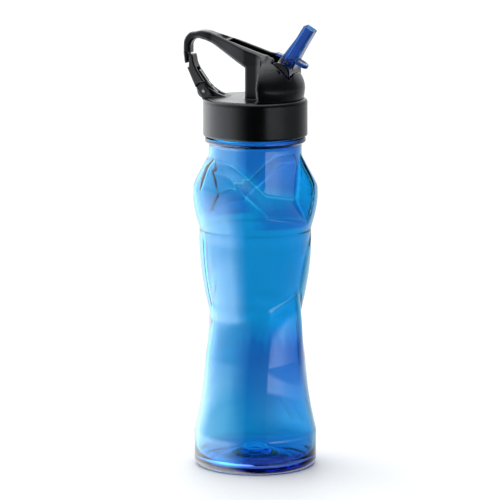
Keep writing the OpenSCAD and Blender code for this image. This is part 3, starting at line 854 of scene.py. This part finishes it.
# Ranges of the masks below: height, angle within a repeat, angle all round, height above the upper crease
HEIGHTS, TURNS, FULL_TURN, FROM_CREASE = (0, 220), (-65, 115), (-180, 180), (-40, 60)


def painted_shade_tint(mat, maths, height, turn, full_turn, above):
    """Painted shade in the tint: full under the neck on the front, along the inside of the ledge, and below
    the waist on the front, where it ends in drawn-out streaks."""
    streaks = maths.times(maths.minus(noise(mat, 260, 2.0, (1, 1, 0.04)), 0.5), 34.0)
    edge = maths.curve(maths.plus(height, streaks), *HEIGHTS, [(76, 1.0), (82, 0.0)])
    waist = maths.curve(height, *HEIGHTS, [(2, 1.0), (9, 0.9), (14, 0.2), (26, 0.2), (40, 0.5), (55, 0.85),
                                           (70, 1.0), (84, 0.8), (90, 0.0)])
    front = maths.curve(full_turn, *FULL_TURN, [(-120, 0.0), (-30, 0.0), (-6, 1.1), (55, 1.2), (90, 0.4),
                                                (115, 0.0)])
    low = maths.times(maths.times(waist, maths.plus(maths.times(edge, 0.55), 0.45)), front)
    neck = maths.times(maths.curve(above, *FROM_CREASE, [(-1, 0.0), (7, 0.95), (40, 1.0)]),
                       maths.curve(full_turn, *FULL_TURN, [(-120, 0.3), (-30, 0.15), (-8, 1.0), (55, 1.0),
                                                           (90, 0.6), (120, 0.3)]))
    ledge = maths.times(maths.curve(height, *HEIGHTS, [(143.4, 0.0), (144.4, 0.8), (154, 0.9), (162, 0.0)]),
                        maths.curve(turn, *TURNS, [(-4, 0.0), (14, 1.0), (62, 1.0), (72, 0.0)]))
    return maths.larger(maths.larger(low, neck), ledge)


def painted_light_tint(maths, height, turn, above):
    """Painted light in the tint: paler above the foot at the sides, and painted highlights in a line along
    both creases of the ledge.
    """
    sides = maths.times(maths.curve(height, *HEIGHTS, [(12, 0.0), (20, 1.0), (40, 0.8), (66, 0.0)]),
                        maths.curve(turn, *TURNS, [(-65, 1.0), (-34, 1.0), (-8, 0.3), (10, 0.0), (70, 0.0),
                                                   (115, 1.0)]))
    # Drop from the upper crease to the lower one
    drop = maths.curve(turn, *TURNS, [(-65, 4.9), (-25, 5.6), (-12, 9.52), (9, 11.06), (33, 11.06),
                                      (115, 11.06)], top=11.2)
    reach = maths.curve(turn, *TURNS, [(-60, 0.2), (-40, 1.0), (60, 1.0), (68, 0.0)])
    # Painted highlights along the upper and the lower crease of the ledge
    upper = maths.curve(above, *FROM_CREASE, [(-0.9, 0.0), (-0.3, 0.8), (0.3, 0.8), (0.9, 0.0)])
    lower = maths.curve(maths.plus(above, drop), *FROM_CREASE,
                        [(-0.8, 0.0), (-0.3, 0.7), (0.3, 0.7), (0.8, 0.0)])
    return maths.larger(sides, maths.times(maths.larger(upper, lower), reach))


def bottle_plastic():
    """Clear blue copolyester. Its tint is deeper and paler in places fixed on the bottle, as the photo shows
    it:
    this is painted shade and painted light laid into the colour."""
    mat, shader, out = new_material("clear_blue")
    maths = NodeMaths(mat.node_tree)
    coords = mat.node_tree.nodes.new("ShaderNodeTexCoord")
    split = mat.node_tree.nodes.new("ShaderNodeSeparateXYZ")
    link(mat, coords.outputs["Object"], split.inputs[0])
    x, y, z = split.outputs
    height = maths.times(z, 1 / MM)
    angle = maths.minus(maths.times(maths.do("ARCTAN2", y, x), 1 / DEG), FRONT_A)
    turn = maths.wrapped(angle, LOBE_START, REPEAT)
    full_turn = maths.wrapped(angle, -180.0, 360.0)
    crease = maths.curve(turn, *TURNS, [(-65, 33), (-29, 30), (-12, 24), (13, 13), (56, 9), (66, 12),
                                        (72, 36), (115, 33)], top=40.0)
    above = maths.minus(maths.minus(height, 150.0), crease)
    # Painted shade (deep) and painted light (pale), laid into the tint
    deep = painted_shade_tint(mat, maths, height, turn, full_turn, above)
    pale = painted_light_tint(maths, height, turn, above)
    foot = maths.curve(height, *HEIGHTS, [(5, 1.0), (11, 0.0)])
    drift = maths.times(maths.minus(noise(mat, 18, 1.0, FLOW), 0.5), 0.25)
    shade = maths.plus(maths.times(maths.plus(deep, drift), 0.5), 0.3)
    shade = maths.plus(maths.minus(shade, maths.times(pale, 0.3)), maths.times(foot, 0.3))
    tint = ramp(mat, shade, [(0.0, PALE), (0.3, MID), (0.8, DEEP), (1.0, PURPLE)])
    link(mat, tint, shader.inputs["Base Color"])
    make_clear(mat, shader, out, (0.02, 0.05), (0.10, 0.60, 0.90, 1), 120)
    return mat


def moulded_black():
    """Satin black polypropylene with a fine spark-eroded grain."""
    mat, shader, _ = new_material("satin_black")
    tone = ramp(mat, noise(mat, 40, 3.0), [(0.3, (0.0012, 0.0012, 0.0016, 1)),
                                           (0.7, (0.0024, 0.0025, 0.0031, 1))])
    link(mat, tone, shader.inputs["Base Color"])
    roughen(mat, shader, noise(mat, 90, 4.0), (0.3, grey(0.23)), (0.75, grey(0.30)))
    shader.inputs["Specular IOR Level"].default_value = 0.45
    shader.inputs["Specular Tint"].default_value = (0.90, 0.94, 1.0, 1)
    bump(mat, shader, noise(mat, 2600, 2.0), 0.12, 0.00005)
    return mat


def frosted_silicone():
    """Matt, slightly milky silicone."""
    mat, shader, _ = new_material("frosted_silicone")
    tone = ramp(mat, noise(mat, 200, 2.0), [(0.3, (0.62, 0.66, 0.70, 1)), (0.7, (0.74, 0.77, 0.80, 1))])
    link(mat, tone, shader.inputs["Base Color"])
    shader.inputs["Roughness"].default_value = 0.5
    shader.inputs["Subsurface Weight"].default_value = 0.2
    bump(mat, shader, noise(mat, 1500, 2.0), 0.1, 0.00005)
    return mat


def bright_steel():
    """Drawn steel with fine lines along its length."""
    mat, shader, _ = new_material("bright_steel")
    shader.inputs["Metallic"].default_value = 1.0
    tone = ramp(mat, noise(mat, 900, 2.0, (1, 0.05, 1)), [(0.3, (0.42, 0.43, 0.45, 1)),
                                                          (0.7, (0.60, 0.61, 0.63, 1))])
    link(mat, tone, shader.inputs["Base Color"])
    roughen(mat, shader, noise(mat, 2000, 2.0), (0.3, grey(0.26)), (0.7, grey(0.4)))
    return mat


CLEAR_BLUE = bottle_plastic()
DEEP_BLUE = spout_plastic()
BLACK = moulded_black()
SILICONE = frosted_silicone()
STEEL = bright_steel()


def paint(obj, mat):
    obj.data.materials.clear()
    obj.data.materials.append(mat)


for node, mat in {"cap_gasket": SILICONE, "spout_seal": SILICONE, "vent_valve": SILICONE, "lid_cap": BLACK,
                  "carry_handle": BLACK, "gate": BLACK, "gate_pin": STEEL, "gate_spring": STEEL,
                  "spout": DEEP_BLUE}.items():
    paint(bpy.data.objects[node], mat)

for piece, node, body, mat, slot in ((handle, "carry_handle", "lid", BLACK, "black_shell"),
                                     (collar, "lid_cap", "lid", BLACK, "black_shell"),
                                     (gate, "gate", "gate", BLACK, "black_shell"),
                                     (spout, "spout", "spout", DEEP_BLUE, "deep_blue"),
                                     (bottle, "bottle_body", "bottle", CLEAR_BLUE, "clear_blue")):
    paint(piece, mat)
    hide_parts(node)
    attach(piece, body)

# The spring's foot sits in the lid's slot; the spring is baked in place and attached to no body
paint(spring, STEEL)
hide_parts("gate_spring")
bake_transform(spring)


# ---- Stage, light and camera --------------------------------------------------------------------
def make_floor():
    half = 3.0
    corners = [(-half, -half, 0), (half, -half, 0), (half, half, 0), (-half, half, 0)]
    floor = new_object("studio_floor", corners, [(0, 1, 2, 3)], smooth=False)
    mat, shader, _ = new_material("pale_floor")
    tone = ramp(mat, noise(mat, 3, 2.0), [(0.3, grey(0.93)), (0.7, grey(0.96))])
    link(mat, tone, shader.inputs["Base Color"])
    shader.inputs["Roughness"].default_value = 0.6
    paint(floor, mat)
    floor.visible_glossy = False
    floor.visible_transmission = False


# Brightness of the studio around the bottle, as (degrees from the camera's side, positive to its right,
# brightness), and the share of it that is seen at each height angle
BIG_SOFTBOX = [(-180, 1.6), (-150, 2.0), (-125, 2.6), (-88, 1.5), (-60, 0.85), (-42, 0.5), (-31, 0.3),
               (-21, 0.15), (-20, 0.01), (20, 0.01), (22, 0.12), (60, 0.1), (90, 0.12), (120, 0.3),
               (150, 0.8), (180, 1.6)]
LEVEL_GLOW = [(-180, 1.0), (-155, 1.4), (-125, 2.2), (-85, 1.6), (-53, 0.9), (-42, 0.5), (-31, 0.28),
              (-21, 0.06), (-20, 0.01), (24, 0.01), (105, 0.02), (150, 0.6), (180, 1.0)]
WINDOW = [(-180, 0.0), (24, 0.0), (25, 2.0), (50, 1.8), (72, 0.7), (105, 0.25), (150, 0.0), (180, 0.0)]
BRIGHT_FLOOR = [(-180, 1.0), (-150, 2.0), (-125, 4.0), (-88, 4.6), (-56, 3.8), (-44, 2.0), (-34, 0.8),
                (-22, 0.1), (-15, 0.01), (60, 0.05), (110, 0.3), (150, 1.0), (180, 1.0)]
STUDIO = [(BIG_SOFTBOX, [(-6, 0.0), (5, 1.0), (45, 1.0), (65, 0.0)]),
          (LEVEL_GLOW, [(-17, 0.0), (-7, 1.0), (-4, 1.0), (2, 0.0)]),
          (WINDOW, [(-11.2, 0.0), (-10.2, 1.0), (-4, 1.0), (-2, 0.0)]),
          (BRIGHT_FLOOR, [(-19, 1.0), (-6, 0.1), (3, 0.0)])]
CEILING = [(40, 0.0), (70, 1.5)]


def background(tree, colour):
    node = tree.nodes.new("ShaderNodeBackground")
    node.inputs["Color"].default_value = (*colour, 1)
    return node


def make_world():
    """White backdrop for the eye. Reflections and light see the studio instead."""
    world = bpy.data.worlds.new("studio")
    bpy.context.scene.world = world
    world.use_nodes = True
    nt = world.node_tree
    nt.nodes.clear()
    maths = NodeMaths(nt)
    coords = nt.nodes.new("ShaderNodeTexCoord")
    turn = nt.nodes.new("ShaderNodeVectorRotate")
    turn.rotation_type = "Z_AXIS"
    turn.inputs["Angle"].default_value = -CAMERA_AZ * DEG
    nt.links.new(coords.outputs["Generated"], turn.inputs["Vector"])
    split = nt.nodes.new("ShaderNodeSeparateXYZ")
    nt.links.new(turn.outputs[0], split.inputs[0])
    x, y, z = split.outputs
    around = maths.times(maths.do("ARCTAN2", x, maths.times(y, -1.0)), 1 / DEG)
    up = maths.times(maths.do("ARCSINE", z), 1 / DEG)
    total = maths.curve(up, -90, 90, CEILING)
    for light, height in STUDIO:
        lit = maths.times(maths.curve(around, -180, 180, light), maths.curve(up, -90, 90, height))
        total = maths.plus(total, lit)
    studio = background(nt, (0.97, 0.99, 1.0))
    nt.links.new(total, studio.inputs["Strength"])
    white = background(nt, (1, 1, 1))
    path = nt.nodes.new("ShaderNodeLightPath")
    pick = nt.nodes.new("ShaderNodeMixShader")
    out = nt.nodes.new("ShaderNodeOutputWorld")
    nt.links.new(path.outputs["Is Camera Ray"], pick.inputs[0])
    nt.links.new(studio.outputs[0], pick.inputs[1])
    nt.links.new(white.outputs[0], pick.inputs[2])
    nt.links.new(pick.outputs[0], out.inputs["Surface"])


def make_softbox():
    """Square softbox high above and a little behind the bottle, facing it."""
    azimuth, distance, height, side = 150, 0.3, 1.6, 1.2
    a = (CAMERA_AZ + azimuth) * DEG
    data = bpy.data.lights.new("softbox_top", "AREA")
    data.shape = "RECTANGLE"
    data.size = data.size_y = side
    data.energy = 5
    box = bpy.data.objects.new("softbox_top", data)
    box.location = (distance * math.sin(a), -distance * math.cos(a), height)
    middle = Vector((0, 0, (CAD_BOX[0][2] + CAD_BOX[1][2]) / 2))
    box.rotation_euler = (middle - box.location).to_track_quat("-Z", "Y").to_euler()
    bpy.context.scene.collection.objects.link(box)


# Where the camera stands, in degrees from straight in front and in metres, and where it points
CAMERA_AZ = 17.0
CAMERA_DISTANCE, CAMERA_HEIGHT = 2.0, 0.474
CAMERA_PITCH, CAMERA_LENS, CAMERA_SHIFT = 9.84, 249.8, -0.0106


def make_camera():
    """Long lens a little above the lid, looking slightly down."""
    a = CAMERA_AZ * DEG
    data = bpy.data.cameras.new("camera")
    data.sensor_width = 36.0
    data.lens = CAMERA_LENS
    data.clip_end = 20
    data.shift_x = CAMERA_SHIFT
    obj = bpy.data.objects.new("camera", data)
    obj.location = (CAMERA_DISTANCE * math.sin(a), -CAMERA_DISTANCE * math.cos(a), CAMERA_HEIGHT)
    obj.rotation_euler = ((90 - CAMERA_PITCH) * DEG, 0, a)
    bpy.context.scene.collection.objects.link(obj)
    bpy.context.scene.camera = obj


bpy.context.scene.view_settings.view_transform = "Standard"
make_floor()
make_world()
make_camera()
make_softbox()
